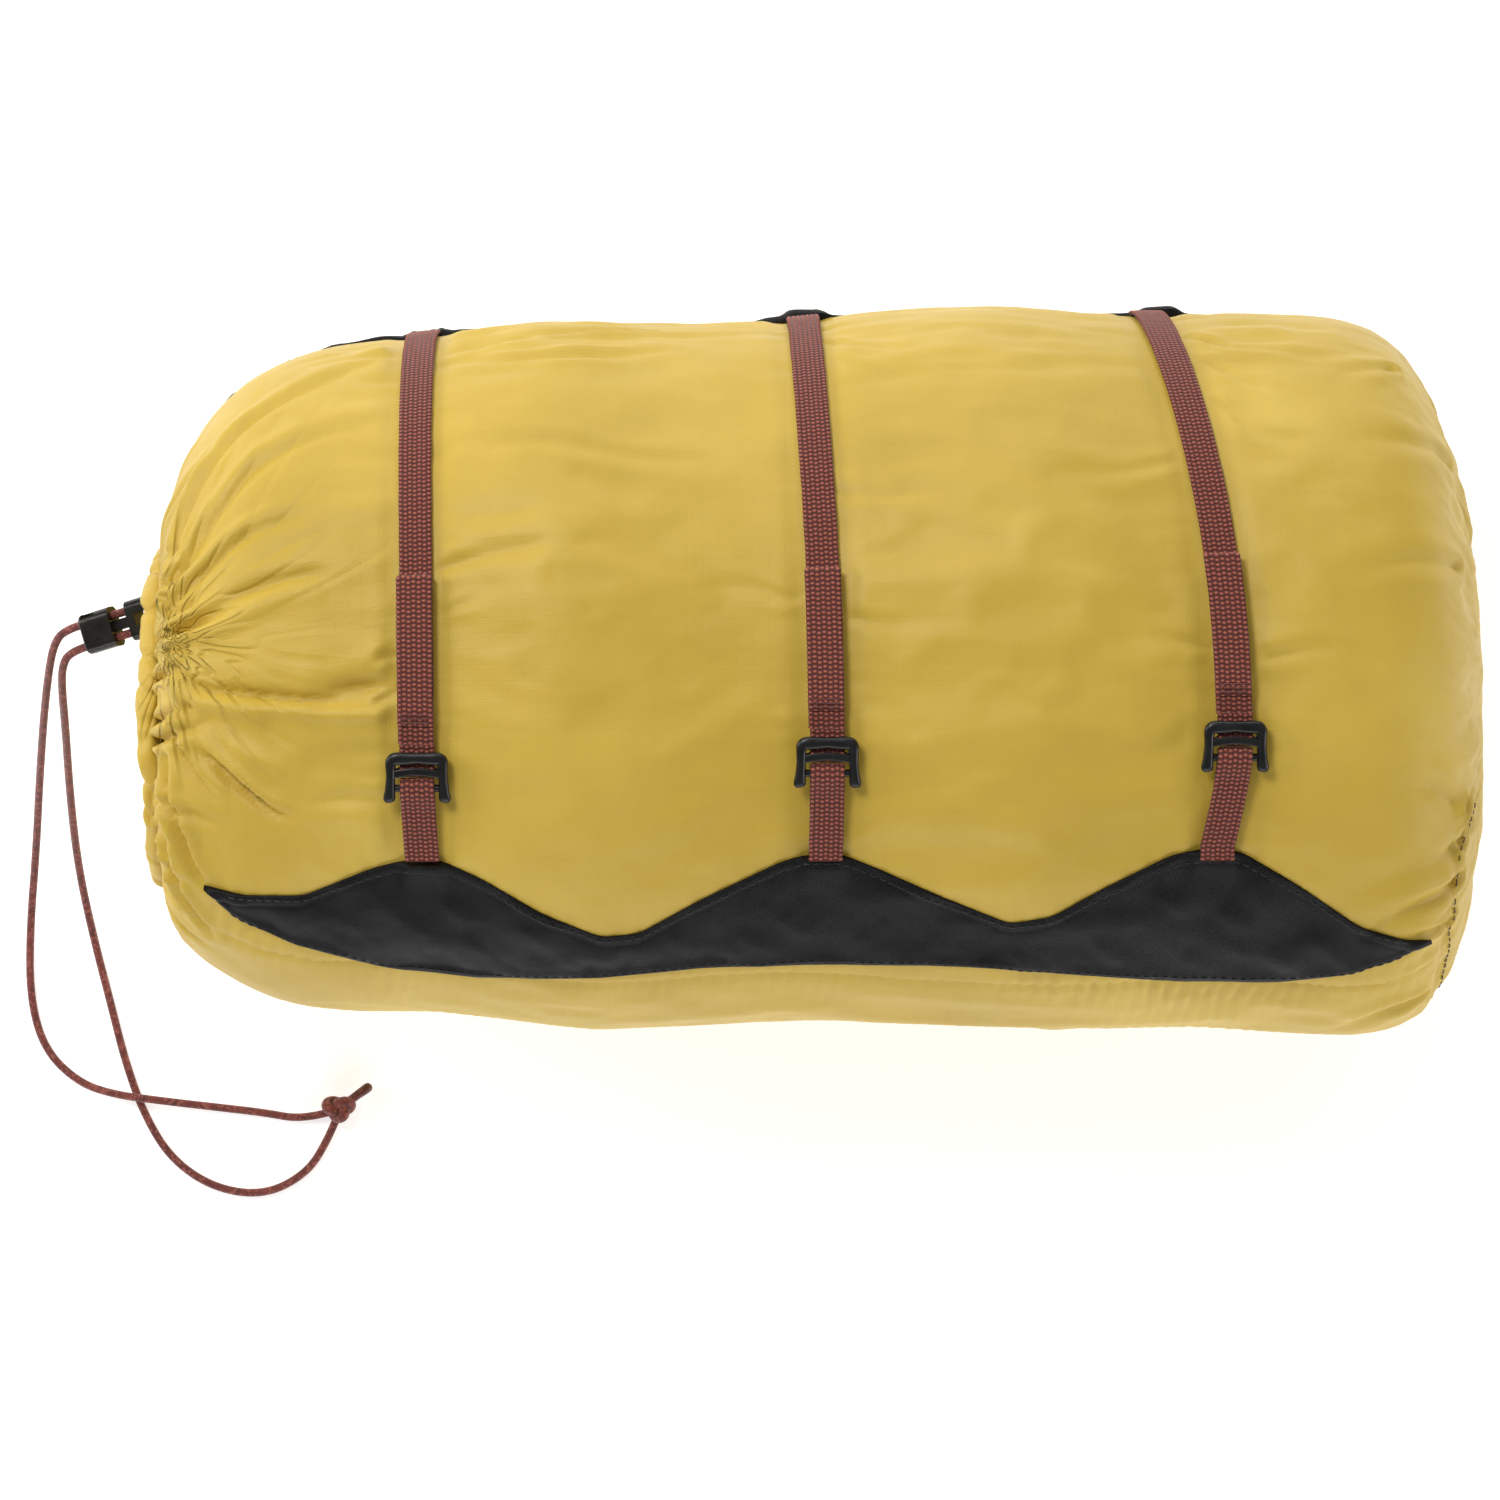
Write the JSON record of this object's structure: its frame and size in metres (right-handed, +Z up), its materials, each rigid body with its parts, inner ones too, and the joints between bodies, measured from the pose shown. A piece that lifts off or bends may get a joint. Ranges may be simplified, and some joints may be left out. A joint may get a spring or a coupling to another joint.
{
  "type": "compression stuff sack",
  "caption": "Packed fabric stuff sack lying on its side, with webbing compression straps, ladder-lock buckles, reinforcement panels and a drawcord mouth with a spring cord lock.",
  "frame": {"origin": "centre of the sack's footprint on the surface it lies on, without the free drawcord", "axes": "+X from the gathered mouth to the closed end, +Z up, +Y away from the buckles"},
  "size_m": [0.447, 0.2742, 0.1894],
  "materials": {
    "shell_fabric": "fine plain-weave coated nylon, slight satin sheen, mustard yellow",
    "packed_contents": "soft quilted filling, hidden",
    "reinforcement_fabric": "near-black diagonal-woven nylon, slight sheen",
    "webbing": "redwood-coloured ribbed webbing, matt",
    "buckle_plastic": "satin black moulded acetal",
    "lock_plastic": "glossy near-black moulded plastic",
    "drawcord": "dark red round braided cord",
    "spring_steel": "drawn spring wire"
  },
  "bodies": {
    "sack": {"top_fabric_panel": "shell_fabric", "bottom_fabric_panel": "shell_fabric", "end_panel": "shell_fabric", "mouth_flap": "shell_fabric", "drawcord_tunnel": "shell_fabric", "packed_sleeping_bag": "packed_contents", "front_reinforcement": "reinforcement_fabric", "rear_reinforcement": "reinforcement_fabric", "strap_1": "webbing", "anchor_loop_1": "webbing", "strap_2": "webbing", "anchor_loop_2": "webbing", "strap_3": "webbing", "anchor_loop_3": "webbing", "cord_lock_barrel": "lock_plastic", "cord_lock_spring": "spring_steel", "drawcord_in_tunnel": "drawcord", "drawcord_strand_a": "drawcord", "drawcord_strand_b": "drawcord", "drawcord_knot": "drawcord", "drawcord_tail": "drawcord"},
    "lock_plunger": {"cord_lock_plunger": "lock_plastic"},
    "buckle_unit_1": {"buckle_1": "buckle_plastic", "strap_wrap_1": "webbing"},
    "pull_loop_unit_1": {"pull_loop_1": "webbing"},
    "buckle_unit_2": {"buckle_2": "buckle_plastic", "strap_wrap_2": "webbing"},
    "pull_loop_unit_2": {"pull_loop_2": "webbing"},
    "buckle_unit_3": {"buckle_3": "buckle_plastic", "strap_wrap_3": "webbing"},
    "pull_loop_unit_3": {"pull_loop_3": "webbing"}
  },
  "joints": [
    {"name": "plunger_press", "type": "slide", "parent": "sack", "child": "lock_plunger", "axis": [-0.9125, -0.2657, -0.3109], "range_m": [0, 0.004], "stiffness_N_per_m": 400, "springref_m": -0.004, "deforming": ["cord_lock_spring"]},
    {"name": "buckle_1_tilt", "type": "hinge", "parent": "sack", "child": "buckle_unit_1", "pos_m": [-0.113, -0.03393, 0.17949], "axis": [1, 0, 0], "range_deg": [0, 35]},
    {"name": "pull_loop_1_lift", "type": "hinge", "parent": "buckle_unit_1", "child": "pull_loop_unit_1", "pos_m": [-0.113, -0.02122, 0.18221], "axis": [1, 0, 0], "range_deg": [0, 80]},
    {"name": "buckle_2_tilt", "type": "hinge", "parent": "sack", "child": "buckle_unit_2", "pos_m": [0.0042, -0.0296, 0.18313], "axis": [1, 0, 0], "range_deg": [0, 35]},
    {"name": "pull_loop_2_lift", "type": "hinge", "parent": "buckle_unit_2", "child": "pull_loop_unit_2", "pos_m": [0.0042, -0.01678, 0.1853], "axis": [1, 0, 0], "range_deg": [0, 80]},
    {"name": "buckle_3_tilt", "type": "hinge", "parent": "sack", "child": "buckle_unit_3", "pos_m": [0.1202, -0.0251, 0.18548], "axis": [1, 0, 0], "range_deg": [0, 35]},
    {"name": "pull_loop_3_lift", "type": "hinge", "parent": "buckle_unit_3", "child": "pull_loop_unit_3", "pos_m": [0.1202, -0.01222, 0.18726], "axis": [1, 0, 0], "range_deg": [0, 80]}
  ]
}
